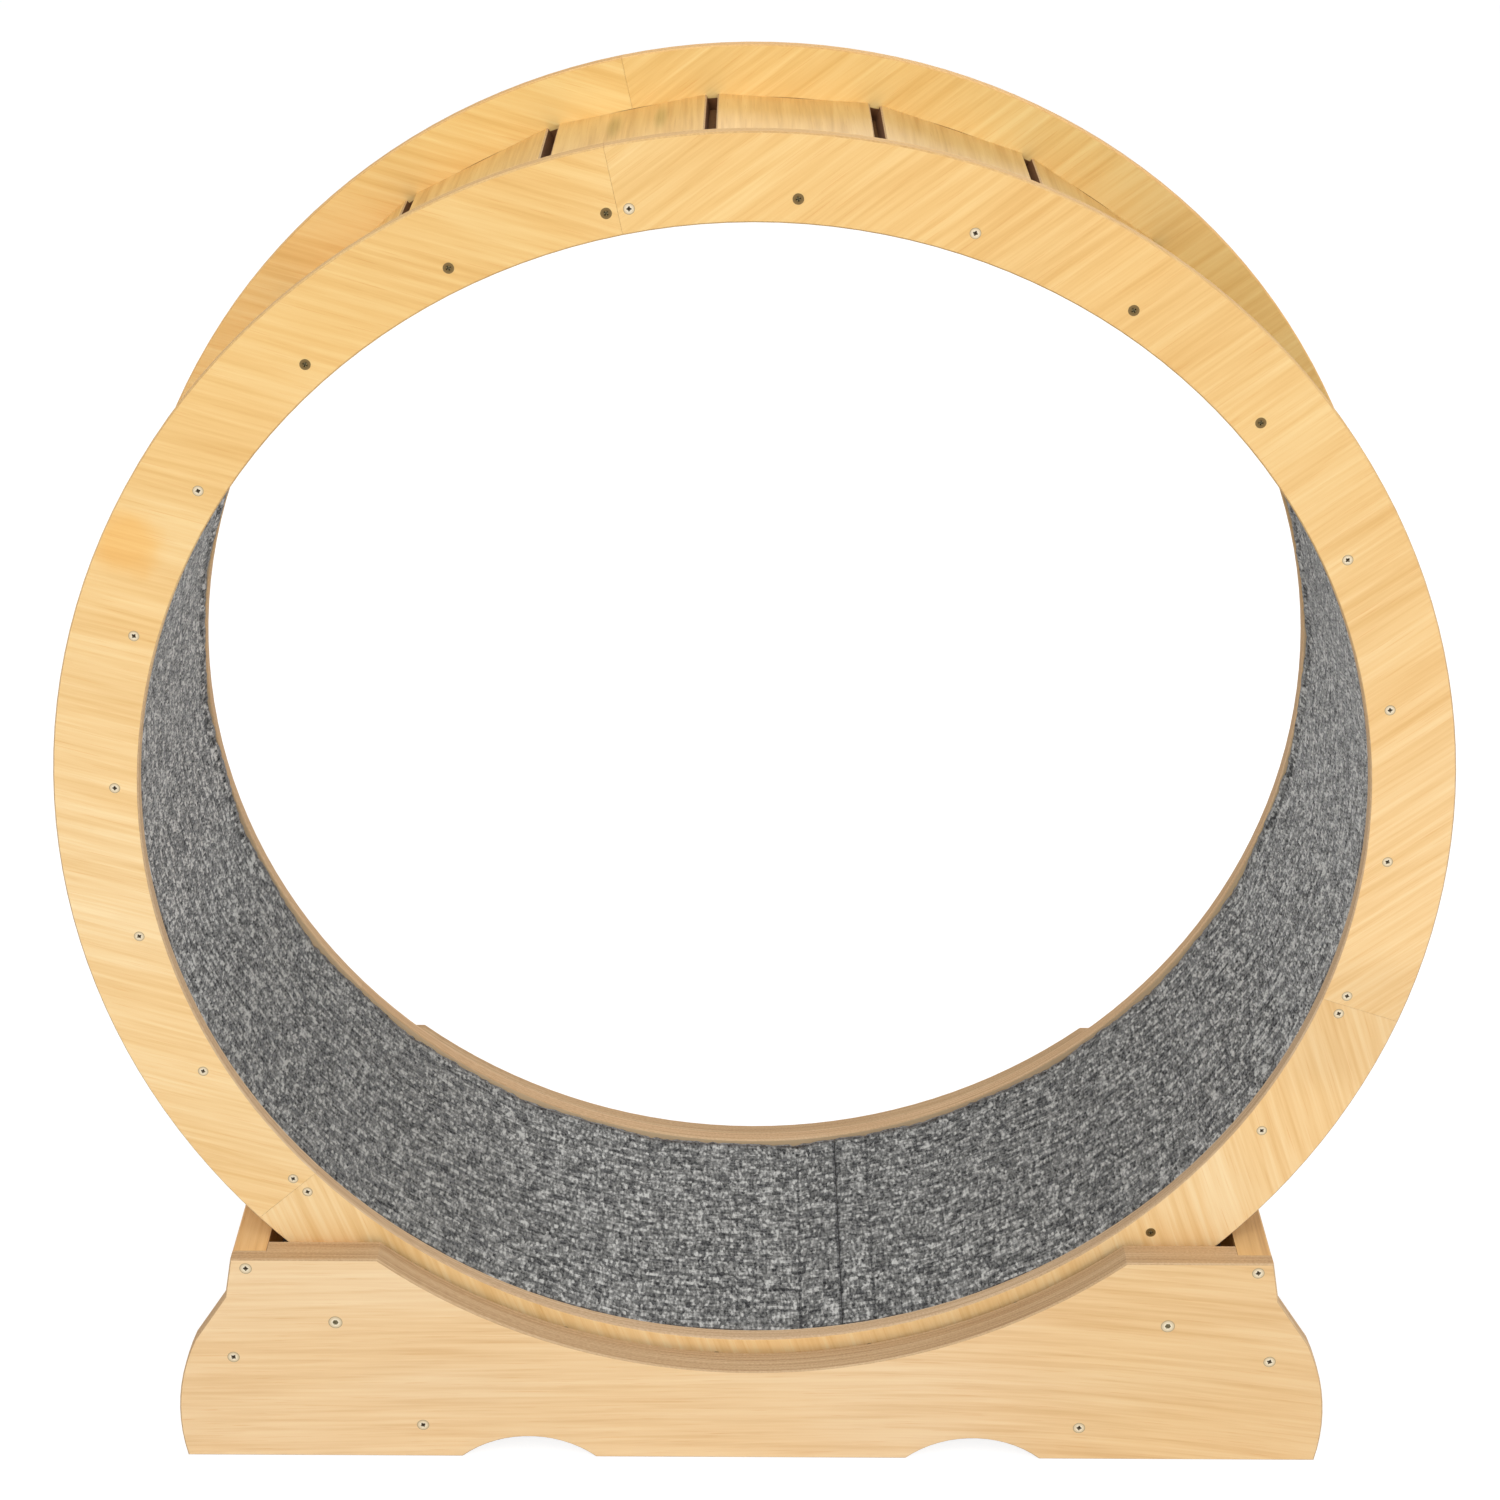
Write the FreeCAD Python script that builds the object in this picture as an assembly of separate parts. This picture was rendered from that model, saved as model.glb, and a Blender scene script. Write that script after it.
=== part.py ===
import FreeCAD, Part
import math
import os

# Cat exercise wheel: a big open drum of slats, lined with carpet, that rolls on four grooved
# rollers inside a low base. The sheet pieces are cut from wood-veneered board with raw edges.
# Millimetres and degrees. The origin is on the floor under the middle of the wheel, +Z is up,
# and the front of the wheel faces -Y.
# Angles on the wheel run anticlockwise from +X as seen from the front.

# ---- wheel ----
wheel_diameter = 1000.0
wheel_width = 302.0
ring_face_width = 60.5
ring_thickness = 12.0
ring_segments = 3
ring_joint_gap = 0.15
first_joint_angle = 101.6
slat_count = 24
slat_thickness = 12.0
slat_setback = 39.0
slit_width = 8.4
carpet_thickness = 7.0
carpet_side_gap = 0.5
carpet_seam_angle = 279.2
carpet_seam_gap = 0.6
edge_break = 1.0

# ---- screws, all countersunk with a cross recess ----
ring_screw_head = 7.6
ring_screw_shank = 4.0
ring_screw_length = 45.0
ring_screw_setback = 43.8
joint_screw_spacing = 15.4
panel_screw_head = 9.2
panel_screw_shank = 4.8
panel_screw_length = 60.0
recess_slot = 1.1
recess_span_share = 0.46
recess_depth = 1.6
screw_hole_clearance = 0.1
pilot_extra_depth = 1.0
screw_turn_step = 37.0

# ---- rollers and their bearings ----
roller_angle = 37.9
roller_tread_diameter = 28.4
roller_tread_gap = 0.3
flange_height = 5.0
flange_thickness = 3.0
flange_flare = 0.6
ring_side_play = 0.4
bearing_bore = 6.0
bearing_outer_diameter = 19.0
bearing_width = 6.0
bearing_ball = 3.5
bearing_ball_count = 7
ball_play = 0.05
race_shoulder = 0.9
shield_thickness = 0.3
shield_gap = 0.1
cage_thickness = 1.0
cage_margin = 0.55
roller_lip = 1.5

# ---- axle bolts, sleeves, washers and lock nuts ----
bolt_diameter = 6.0
bolt_head = 10.5
bolt_socket = 4.0
bolt_socket_depth = 2.4
bolt_tail = 1.0
bolt_hole_clearance = 0.1
sleeve_wall = 1.4
washer_thickness = 1.0
nut_across_flats = 10.0
nut_height = 5.0
nut_collar_height = 1.2
hexagon_sides = 6

# ---- base ----
wheel_floor_gap = 29.5
base_height = 179.5
panel_thickness = 12.0
panel_side_gap = 5.0
cutout_margin = 10.0
end_board_thickness = 25.0
end_board_drop = 108.0
end_board_tilt = 10.0
end_board_clearance = 10.2
inner_panel_end_gap = 0.3
shoulder_drop = 33.7
knee_drop = 72.5
knee_reach = 31.5
toe_reach = 43.6
foot_bulge_reach = 47.0
foot_bulge_height = 46.5
arch_offset = 171.7
arch_half_width = 51.8
arch_height = 18.7
crossbar_offset = 253.0
crossbar_width = 40.0
crossbar_height = 30.0
crossbar_floor_gap = 14.5
end_screw_top_drop = 8.0
end_screw_low_drop = 88.0

# ---- places worked out from the sizes above ----
wheel_radius = wheel_diameter / 2
axle_height = wheel_radius + wheel_floor_gap
ring_inner_radius = wheel_radius - ring_face_width
slat_outer = wheel_radius - slat_setback
slat_inner = slat_outer - slat_thickness
slat_middle = (slat_outer + slat_inner) / 2
screw_circle = wheel_radius - ring_screw_setback
slat_length = wheel_width - 2 * ring_thickness
slat_pitch = 360.0 / slat_count
slat_width = 2 * slat_outer * math.tan(math.radians(slat_pitch / 2)) - slit_width
segment_sweep = 360.0 / ring_segments
joint_screw_turn = math.degrees(joint_screw_spacing / 2 / screw_circle)
carpet_inner = slat_inner - carpet_thickness
ring_middle = (wheel_width - ring_thickness) / 2

tread_radius = roller_tread_diameter / 2
flange_radius = tread_radius + flange_height
groove_half = ring_thickness / 2 + ring_side_play
roller_half = groove_half + flange_thickness
roller_circle = wheel_radius + roller_tread_gap + tread_radius
roller_x = roller_circle * math.sin(math.radians(roller_angle))
roller_z = axle_height - roller_circle * math.cos(math.radians(roller_angle))
race_outer_radius = bearing_outer_diameter / 2
race_inner_radius = bearing_bore / 2
ball_radius = bearing_ball / 2
ball_circle = (race_outer_radius + race_inner_radius) / 2
groove_radius = ball_radius + ball_play
hexagon_turn = 360.0 / hexagon_sides

panel_inner_face = wheel_width / 2 + panel_side_gap
panel_seam = panel_inner_face + panel_thickness
panel_outer_face = panel_seam + panel_thickness
cutout_radius = ring_inner_radius + cutout_margin
top_to_axle = axle_height - base_height
ring_reach_at_top = math.sqrt(wheel_radius ** 2 - top_to_axle ** 2)
tilt_slope = math.tan(math.radians(end_board_tilt))
board_level_thickness = end_board_thickness / math.cos(math.radians(end_board_tilt))
base_top_half = ring_reach_at_top + end_board_clearance + board_level_thickness


def vec(x, y, z):
    return FreeCAD.Vector(x, y, z)


FORWARD = vec(0, 1, 0)
AXLE_LINE = vec(0, 0, axle_height)


def turned(shape, angle):
    """Copy of a shape turned anticlockwise about the wheel's axle line."""
    copy = shape.copy()
    copy.rotate(AXLE_LINE, vec(0, -1, 0), angle)
    return copy


def moved(shape, x, y, z):
    copy = shape.copy()
    copy.translate(vec(x, y, z))
    return copy


def to_back(shape):
    """The front piece mirrored to the back of the wheel."""
    return shape.mirror(vec(0, 0, 0), FORWARD)


def ring_point(radius, angle):
    turn = math.radians(angle)
    return radius * math.cos(turn), axle_height + radius * math.sin(turn)


def face_of(points):
    return Part.Face(Part.makePolygon(points + [points[0]]))


def rod(radius, length):
    """Round bar that starts at the origin and runs along +Y."""
    return Part.makeCylinder(radius, length, vec(0, 0, 0), FORWARD)


def turned_about_y(profile):
    """Full turn of a closed list of (radius, y) points."""
    points = [vec(radius, y, 0) for radius, y in profile]
    return face_of(points).revolve(vec(0, 0, 0), FORWARD, 360)


def broken_box(width, height, length, corner):
    """Bar along Y, centred on the origin, with its long edges broken."""
    half_w = width / 2
    half_h = height / 2
    outline = [
        (-half_w + corner, -half_h), (half_w - corner, -half_h),
        (half_w, -half_h + corner), (half_w, half_h - corner),
        (half_w - corner, half_h), (-half_w + corner, half_h),
        (-half_w, half_h - corner), (-half_w, -half_h + corner),
    ]
    points = [vec(x, -length / 2, z) for x, z in outline]
    return face_of(points).extrude(vec(0, length, 0))


def hexagon_bar(across_flats, length):
    """Hexagonal bar that starts at the origin and runs along +Y."""
    corner_radius = across_flats / 2 / math.cos(math.radians(hexagon_turn / 2))
    points = []
    for number in range(hexagon_sides):
        turn = math.radians(number * hexagon_turn)
        points.append(vec(corner_radius * math.cos(turn), 0, corner_radius * math.sin(turn)))
    return face_of(points).extrude(vec(0, length, 0))


# ---- screws ----
def cross_screw(head, shank, length):
    """Countersunk wood screw, head flush at y = 0, pointing along +Y."""
    head_radius = head / 2
    shank_radius = shank / 2
    head_depth = head_radius - shank_radius
    tip_length = shank
    screw = turned_about_y([
        (0, 0), (head_radius, 0), (shank_radius, head_depth),
        (shank_radius, length - tip_length), (0, length),
    ])
    span = head * recess_span_share
    slot = Part.makeBox(span, recess_depth, recess_slot, vec(-span / 2, 0, -recess_slot / 2))
    cross = Part.makeBox(recess_slot, recess_depth, span, vec(-recess_slot / 2, 0, -span / 2))
    return screw.cut(slot).cut(cross)


def screw_hole(head, shank, length):
    """Countersunk hole for a cross_screw, through whatever it is cut from."""
    head_radius = head / 2 + screw_hole_clearance
    shank_radius = shank / 2 + screw_hole_clearance
    depth = head_radius - shank_radius
    return turned_about_y([
        (0, 0), (head_radius, 0), (shank_radius, depth),
        (shank_radius, length + pilot_extra_depth), (0, length + pilot_extra_depth),
    ])


def screws_at(places, head, shank, length, front_y):
    """One screw at each (x, z), each stopped at its own turn of the driver."""
    screws = []
    for number, (x, z) in enumerate(places):
        screw = cross_screw(head, shank, length)
        screw.rotate(vec(0, 0, 0), FORWARD, number * screw_turn_step)
        screws.append(moved(screw, x, front_y, z))
    return screws


def drilled(shape, places, hole, front_y):
    for x, z in places:
        shape = shape.cut(moved(hole, x, front_y, z))
    return shape


def slat_angle(number):
    return first_joint_angle - number * slat_pitch


def is_joint_slat(number):
    return number % (slat_count // ring_segments) == 0


def slat_screw_turns(number):
    """Turns of a slat's end screws from its middle: a pair where two ring segments meet."""
    if is_joint_slat(number):
        return [-joint_screw_turn, joint_screw_turn]
    return [0.0]


def ring_screw_angles():
    angles = []
    for number in range(slat_count):
        for turn in slat_screw_turns(number):
            angles.append(slat_angle(number) + turn)
    return angles


# ---- wheel pieces ----
def ring_segment(number):
    """One third of the front ring, with its countersunk screw holes."""
    front = -wheel_width / 2
    back = front + ring_thickness
    section = [
        (ring_inner_radius + edge_break, front), (wheel_radius - edge_break, front),
        (wheel_radius, front + edge_break), (wheel_radius, back - edge_break),
        (wheel_radius - edge_break, back), (ring_inner_radius + edge_break, back),
        (ring_inner_radius, back - edge_break), (ring_inner_radius, front + edge_break),
    ]
    gap_turn = math.degrees(ring_joint_gap / wheel_radius)
    start = first_joint_angle + number * segment_sweep
    points = [vec(radius, y, axle_height) for radius, y in section]
    segment = face_of(points).revolve(AXLE_LINE, vec(0, -1, 0), segment_sweep - gap_turn)
    segment = turned(segment, start + gap_turn / 2)
    places = []
    for angle in ring_screw_angles():
        if (angle - start) % 360 < segment_sweep:
            places.append(ring_point(screw_circle, angle))
    hole = screw_hole(ring_screw_head, ring_screw_shank, ring_thickness)
    return drilled(segment, places, hole, front)


def ring_screws():
    places = [ring_point(screw_circle, angle) for angle in ring_screw_angles()]
    screws = screws_at(places, ring_screw_head, ring_screw_shank, ring_screw_length, -wheel_width / 2)
    return Part.makeCompound(screws)


def slat(number):
    """Flat slat between the rings, drilled at both ends for its screws."""
    board = broken_box(slat_width, slat_thickness, slat_length, edge_break)
    board = moved(board, 0, 0, axle_height + slat_middle)
    pilot_length = ring_screw_length - ring_thickness + pilot_extra_depth
    pilot = rod(ring_screw_shank / 2 + screw_hole_clearance, pilot_length)
    for turn in slat_screw_turns(number):
        x, z = ring_point(screw_circle, 90 + turn)
        front_pilot = moved(pilot, x, -slat_length / 2, z)
        board = board.cut(front_pilot).cut(to_back(front_pilot))
    return turned(board, slat_angle(number) - 90)


def polygon_prism(apothem, length):
    """Prism with a flat over each slat, its corners at the slits."""
    corner_radius = apothem / math.cos(math.radians(slat_pitch / 2))
    points = []
    for number in range(slat_count):
        x, z = ring_point(corner_radius, slat_angle(number) + slat_pitch / 2)
        points.append(vec(x, -length / 2, z))
    return face_of(points).extrude(vec(0, length, 0))


def carpet_runner():
    """Carpet strip glued round the inside of the slats, its ends butted at the seam."""
    length = slat_length - 2 * carpet_side_gap
    strip = polygon_prism(slat_inner, length).cut(polygon_prism(carpet_inner, 2 * length))
    seam = Part.makeBox(wheel_radius, 2 * length, carpet_seam_gap,
                        vec(0, -length, axle_height - carpet_seam_gap / 2))
    return strip.cut(turned(seam, carpet_seam_angle))


# ---- rollers: drawn about the origin with the axle along Y ----
def roller_body():
    """Grooved nylon roller: the ring's edge runs in the groove between two flanges."""
    lip_radius = race_outer_radius - roller_lip
    seat_start = -bearing_width / 2
    return turned_about_y([
        (lip_radius, -roller_half), (flange_radius, -roller_half),
        (flange_radius, -groove_half - flange_flare), (tread_radius, -groove_half),
        (tread_radius, groove_half), (flange_radius, groove_half + flange_flare),
        (flange_radius, roller_half), (race_outer_radius, roller_half),
        (race_outer_radius, seat_start), (lip_radius, seat_start),
    ])


def ball_track():
    """Ring of the space that the balls sweep, with their running play."""
    return Part.makeTorus(ball_circle, groove_radius, vec(0, 0, 0), FORWARD)


def inner_race():
    shoulder = ball_circle - race_shoulder
    half = bearing_width / 2
    race = turned_about_y([
        (race_inner_radius, -half), (shoulder, -half), (shoulder, half), (race_inner_radius, half),
    ])
    return race.cut(ball_track())


def outer_race():
    """Outer race with the two shields that close the bearing's sides."""
    shoulder = ball_circle + race_shoulder
    shield_edge = ball_circle - race_shoulder + shield_gap
    half = bearing_width / 2
    inside = half - shield_thickness
    race = turned_about_y([
        (shield_edge, -half), (race_outer_radius, -half), (race_outer_radius, half),
        (shield_edge, half), (shield_edge, inside), (shoulder, inside),
        (shoulder, -inside), (shield_edge, -inside),
    ])
    return race.cut(ball_track())


def balls_in_cage():
    cage_inner = ball_circle - cage_thickness / 2
    cage_outer = ball_circle + cage_thickness / 2
    cage_half = groove_radius + cage_margin
    cage = turned_about_y([
        (cage_inner, -cage_half), (cage_outer, -cage_half),
        (cage_outer, cage_half), (cage_inner, cage_half),
    ])
    balls = []
    for number in range(bearing_ball_count):
        turn = math.radians(number * 360.0 / bearing_ball_count)
        outward = vec(math.cos(turn), 0, math.sin(turn))
        cage = cage.cut(Part.makeCylinder(groove_radius, race_outer_radius, vec(0, 0, 0), outward))
        balls.append(Part.makeSphere(ball_radius, outward * ball_circle))
    return Part.makeCompound([cage] + balls)


def sleeve_and_washer():
    """Spacer between panel and bearing, and the washer under the nut."""
    inside = race_inner_radius + bolt_hole_clearance
    outside = race_inner_radius + sleeve_wall
    start = -(panel_inner_face - ring_middle)
    half = bearing_width / 2
    sleeve = turned_about_y([(inside, start), (outside, start), (outside, -half), (inside, -half)])
    end = half + washer_thickness
    washer = turned_about_y([(inside, half), (outside, half), (outside, end), (inside, end)])
    return [sleeve, washer]


def lock_nut():
    """Hexagon nut with the round collar that holds its locking insert."""
    hexagon = hexagon_bar(nut_across_flats, nut_height - nut_collar_height)
    nut = hexagon.fuse(rod(nut_across_flats / 2, nut_height))
    nut = nut.cut(rod(bolt_diameter / 2 + bolt_hole_clearance, nut_height))
    return moved(nut, 0, bearing_width / 2 + washer_thickness, 0)


def bolt_profile(extra, length):
    """Half outline of the countersunk axle bolt, grown by extra for its hole."""
    head_radius = bolt_head / 2 + extra
    shank_radius = bolt_diameter / 2 + extra
    depth = head_radius - shank_radius
    return [(0, 0), (head_radius, 0), (shank_radius, depth), (shank_radius, length), (0, length)]


def axle_bolt():
    """Countersunk bolt with a hexagon socket, from the outer panel's face to the nut."""
    head_to_ring = panel_outer_face - ring_middle
    length = head_to_ring + bearing_width / 2 + washer_thickness + nut_height + bolt_tail
    bolt = turned_about_y(bolt_profile(0, length))
    bolt = bolt.cut(hexagon_bar(bolt_socket, bolt_socket_depth))
    return moved(bolt, 0, -head_to_ring, 0)


# ---- base pieces ----
def board_outer_x(z):
    """Half width of the base at the outer face of the tilted end boards."""
    return base_top_half + (base_height - z) * tilt_slope


def board_inner_x(z):
    return board_outer_x(z) - board_level_thickness


def arc_edge(a, b, c, y):
    return Part.Arc(vec(a[0], y, a[1]), vec(b[0], y, b[1]), vec(c[0], y, c[1])).toShape()


def line_edge(a, b, y):
    return Part.LineSegment(vec(a[0], y, a[1]), vec(b[0], y, b[1])).toShape()


def arch_edge(side, y):
    """Shallow arch in the floor edge, drawn from its +X end to its -X end."""
    centre = side * arch_offset
    start = (centre + arch_half_width, 0)
    return arc_edge(start, (centre, arch_height), (centre - arch_half_width, 0), y)


def panel_from(side_edges, top_corner, toe, y):
    """Panel between y and y + panel_thickness: arc cutout above, two arches below."""
    cut_x = math.sqrt(cutout_radius ** 2 - top_to_axle ** 2)
    cut_end = (cut_x, base_height)
    cut_low = (0, axle_height - cutout_radius)
    arch_out = arch_offset + arch_half_width
    arch_in = arch_offset - arch_half_width
    edges = [arc_edge((-cut_x, base_height), cut_low, cut_end, y), line_edge(cut_end, top_corner, y)]
    edges += side_edges(1, y)
    edges += [line_edge(toe, (arch_out, 0), y), arch_edge(1, y)]
    edges += [line_edge((arch_in, 0), (-arch_in, 0), y), arch_edge(-1, y)]
    edges += [line_edge((-arch_out, 0), (-toe[0], 0), y)]
    edges += side_edges(-1, y)
    edges += [line_edge((-top_corner[0], base_height), (-cut_x, base_height), y)]
    wire = Part.Wire(Part.__sortEdges__(edges))
    return Part.Face(wire).extrude(vec(0, panel_thickness, 0))


def outer_side_edges(side, y):
    """Scalloped end of the outer panel: shoulder, knee and the bulging foot."""
    shoulder_z = base_height - shoulder_drop
    corner = (side * base_top_half, base_height)
    shoulder = (side * board_outer_x(shoulder_z), shoulder_z)
    knee = (side * (base_top_half + knee_reach), base_height - knee_drop)
    bulge = (side * (base_top_half + foot_bulge_reach), foot_bulge_height)
    toe = (side * (base_top_half + toe_reach), 0)
    return [line_edge(corner, shoulder, y), line_edge(shoulder, knee, y), arc_edge(knee, bulge, toe, y)]


def inner_side_edges(side, y):
    """Sloping end of the inner panel, along the end board's inner face."""
    top = (side * (board_inner_x(base_height) - inner_panel_end_gap), base_height)
    low = (side * (board_inner_x(0) - inner_panel_end_gap), 0)
    return [line_edge(top, low, y)]


def end_screw_places():
    places = []
    for side in (-1, 1):
        for drop in (end_screw_top_drop, end_screw_low_drop):
            z = base_height - drop
            places.append((side * (board_outer_x(z) - board_level_thickness / 2), z))
    return places


def crossbar_screw_places():
    z = crossbar_floor_gap + crossbar_height / 2
    return [(-crossbar_offset, z), (crossbar_offset, z)]


def axle_places():
    return [(-roller_x, roller_z), (roller_x, roller_z)]


def softened(panel, face_y):
    """Break the edge all round the panel's show face."""
    edges = []
    for edge in panel.Edges:
        box = edge.BoundBox
        if abs(box.YMin - face_y) < edge_break / 10 and abs(box.YMax - face_y) < edge_break / 10:
            edges.append(edge)
    return panel.makeChamfer(edge_break, edges)


def outer_panel():
    toe = (base_top_half + toe_reach, 0)
    panel = panel_from(outer_side_edges, (base_top_half, base_height), toe, -panel_outer_face)
    panel = softened(panel, -panel_outer_face)
    hole = screw_hole(panel_screw_head, panel_screw_shank, panel_screw_length)
    panel = drilled(panel, end_screw_places() + crossbar_screw_places(), hole, -panel_outer_face)
    bolt_hole = turned_about_y(bolt_profile(bolt_hole_clearance, 2 * panel_thickness))
    return drilled(panel, axle_places(), bolt_hole, -panel_outer_face)


def inner_panel():
    top = (board_inner_x(base_height) - inner_panel_end_gap, base_height)
    toe = (board_inner_x(0) - inner_panel_end_gap, 0)
    panel = panel_from(inner_side_edges, top, toe, -panel_seam)
    hole = rod(panel_screw_shank / 2 + screw_hole_clearance, panel_thickness)
    panel = drilled(panel, crossbar_screw_places(), hole, -panel_seam)
    bolt_hole = rod(bolt_diameter / 2 + bolt_hole_clearance, panel_thickness)
    return drilled(panel, axle_places(), bolt_hole, -panel_seam)


def end_board(side):
    """Tilted board between the outer panels, its top sawn level with theirs."""
    low = base_height - end_board_drop
    outline = [
        (board_outer_x(base_height) - edge_break, base_height),
        (board_outer_x(base_height - edge_break), base_height - edge_break),
        (board_outer_x(low), low), (board_inner_x(low), low), (board_inner_x(base_height), base_height),
    ]
    points = [vec(side * x, -panel_seam, z) for x, z in outline]
    board = face_of(points).extrude(vec(0, 2 * panel_seam, 0))
    pilot_length = panel_screw_length - panel_thickness + pilot_extra_depth
    pilot = rod(panel_screw_shank / 2 + screw_hole_clearance, pilot_length)
    for x, z in end_screw_places():
        if x * side > 0:
            front_pilot = moved(pilot, x, -panel_seam, z)
            board = board.cut(front_pilot).cut(to_back(front_pilot))
    return board


def crossbar(side):
    """Square-edged bar across the base near the floor, between the inner panels."""
    x = side * crossbar_offset
    z = crossbar_floor_gap + crossbar_height / 2
    bar = moved(broken_box(crossbar_width, crossbar_height, 2 * panel_inner_face, edge_break), x, 0, z)
    pilot_length = panel_screw_length - 2 * panel_thickness + pilot_extra_depth
    pilot = rod(panel_screw_shank / 2 + screw_hole_clearance, pilot_length)
    front_pilot = moved(pilot, x, -panel_inner_face, z)
    return bar.cut(front_pilot).cut(to_back(front_pilot))


def panel_screws():
    places = end_screw_places() + crossbar_screw_places()
    screws = screws_at(places, panel_screw_head, panel_screw_shank, panel_screw_length, -panel_outer_face)
    return Part.makeCompound(screws)


# ---- all the pieces by name ----
def at_four_corners(shapes):
    """Front pieces at both front rollers, and their mirror images at the back."""
    placed = []
    for x, z in axle_places():
        for shape in shapes:
            front = moved(shape, x, -ring_middle, z)
            placed += [front, to_back(front)]
    return Part.makeCompound(placed)


def wheel_pieces():
    pieces = {}
    for number in range(ring_segments):
        front = ring_segment(number)
        pieces["front_ring_segment_%d" % (number + 1)] = front
        pieces["back_ring_segment_%d" % (number + 1)] = to_back(front)
    for number in range(slat_count):
        pieces["slat_%02d" % (number + 1)] = slat(number)
    pieces["carpet_runner"] = carpet_runner()
    pieces["ring_screws_front"] = ring_screws()
    pieces["ring_screws_back"] = to_back(ring_screws())
    return pieces


def base_pieces():
    return {
        "front_outer_panel": outer_panel(),
        "back_outer_panel": to_back(outer_panel()),
        "front_inner_panel": inner_panel(),
        "back_inner_panel": to_back(inner_panel()),
        "left_end_board": end_board(-1),
        "right_end_board": end_board(1),
        "left_crossbar": crossbar(-1),
        "right_crossbar": crossbar(1),
        "panel_screws_front": panel_screws(),
        "panel_screws_back": to_back(panel_screws()),
        "axle_bolts": at_four_corners([axle_bolt()]),
        "axle_spacers": at_four_corners(sleeve_and_washer()),
        "lock_nuts": at_four_corners([lock_nut()]),
        "bearing_inner_races": at_four_corners([inner_race()]),
    }


def roller_pieces():
    pieces = {}
    shapes = {"roller": roller_body(), "bearing_outer_race": outer_race(), "bearing_balls": balls_in_cage()}
    for side, (x, z) in zip(("left", "right"), axle_places()):
        for name, shape in shapes.items():
            front = moved(shape, x, -ring_middle, z)
            pieces["%s_front_%s" % (name, side)] = front
            pieces["%s_back_%s" % (name, side)] = to_back(front)
    return pieces


def export_all():
    os.makedirs("parts", exist_ok=True)
    for pieces in (wheel_pieces(), base_pieces(), roller_pieces()):
        for name, shape in pieces.items():
            shape.exportStep("parts/%s.step" % name)


export_all()
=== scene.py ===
import math

import bpy
import numpy
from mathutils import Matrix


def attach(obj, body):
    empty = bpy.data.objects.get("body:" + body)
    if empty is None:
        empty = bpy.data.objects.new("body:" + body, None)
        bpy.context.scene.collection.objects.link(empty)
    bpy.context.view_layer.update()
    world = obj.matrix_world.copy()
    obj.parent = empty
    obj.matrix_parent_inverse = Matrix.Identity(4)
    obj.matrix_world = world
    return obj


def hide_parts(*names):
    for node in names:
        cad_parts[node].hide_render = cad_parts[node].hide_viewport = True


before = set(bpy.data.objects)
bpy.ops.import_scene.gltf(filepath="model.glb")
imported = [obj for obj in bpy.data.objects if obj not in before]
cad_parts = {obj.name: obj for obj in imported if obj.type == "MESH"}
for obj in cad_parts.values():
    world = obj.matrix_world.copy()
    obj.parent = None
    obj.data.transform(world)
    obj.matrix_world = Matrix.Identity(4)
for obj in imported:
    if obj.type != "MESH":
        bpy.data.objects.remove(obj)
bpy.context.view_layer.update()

# ---- The camera ----
# The photograph was taken from straight in front with a long lens, from a little above the
# wheel's top, so that it looks down into the running surface. The sensor's middle lies a
# little off the lens's axis, which the two shifts follow.
bpy.ops.object.camera_add(
    location=(-0.0034, -2.1018, 1.4649),
    rotation=(math.radians(66.8546), math.radians(-0.1786), math.radians(0.2125)),
)
camera = bpy.context.object
camera.name = "camera"
camera.data.sensor_width = 36
camera.data.lens = 72.516
camera.data.shift_x = 0.00455
camera.data.shift_y = -0.03679
camera.data.clip_end = 100
bpy.context.scene.camera = camera
bpy.context.scene.view_settings.view_transform = "Standard"


# ---- The studio ----
# A sheet of white paper under the object and four soft lamps over it, with a pale room all
# round. The paper looks white to the camera and in the metal, and keeps a faint shadow.
class Value:
    """A socket of a material's nodes, so that the sums of a finish read as plain Python."""

    def __init__(self, tree, socket=None):
        self.tree = tree
        self.socket = socket

    def node(self, kind, settings=None, inputs=None, output=0):
        """Adds a node: its settings come first, then the values or links of its sockets."""
        node = self.tree.nodes.new("ShaderNode" + kind)
        for name, setting in (settings or {}).items():
            if name == "stops":
                elements = node.color_ramp.elements
                elements.remove(elements[1])
                elements[0].position, elements[0].color = setting[0]
                for position, colour in setting[1:]:
                    elements.new(position).color = colour
            else:
                setattr(node, name, setting)
        for name, value in (inputs or {}).items():
            self.join(value, node.inputs[name])
        return Value(self.tree, node.outputs[output])

    def join(self, value, socket):
        if isinstance(value, Value):
            self.tree.links.new(value.socket, socket)
        else:
            socket.default_value = value

    def maths(self, operation, *values):
        return self.node("Math", {"operation": operation}, dict(enumerate(values)))

    def __add__(self, other):
        return self.maths("ADD", self, other)

    __radd__ = __add__

    def __sub__(self, other):
        return self.maths("SUBTRACT", self, other)

    def __rsub__(self, other):
        return self.maths("SUBTRACT", other, self)

    def __mul__(self, other):
        return self.maths("MULTIPLY", self, other)

    __rmul__ = __mul__

    def __truediv__(self, other):
        return self.maths("DIVIDE", self, other)

    def __abs__(self):
        return self.maths("ABSOLUTE", self)


def shade(red, green, blue):
    """A colour as it is read off a screen, 0 to 255, turned into the numbers shaders use."""
    parts = [channel / 255 for channel in (red, green, blue)]
    return tuple(p / 12.92 if p <= 0.04045 else ((p + 0.055) / 1.055) ** 2.4 for p in parts) + (1,)


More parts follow.
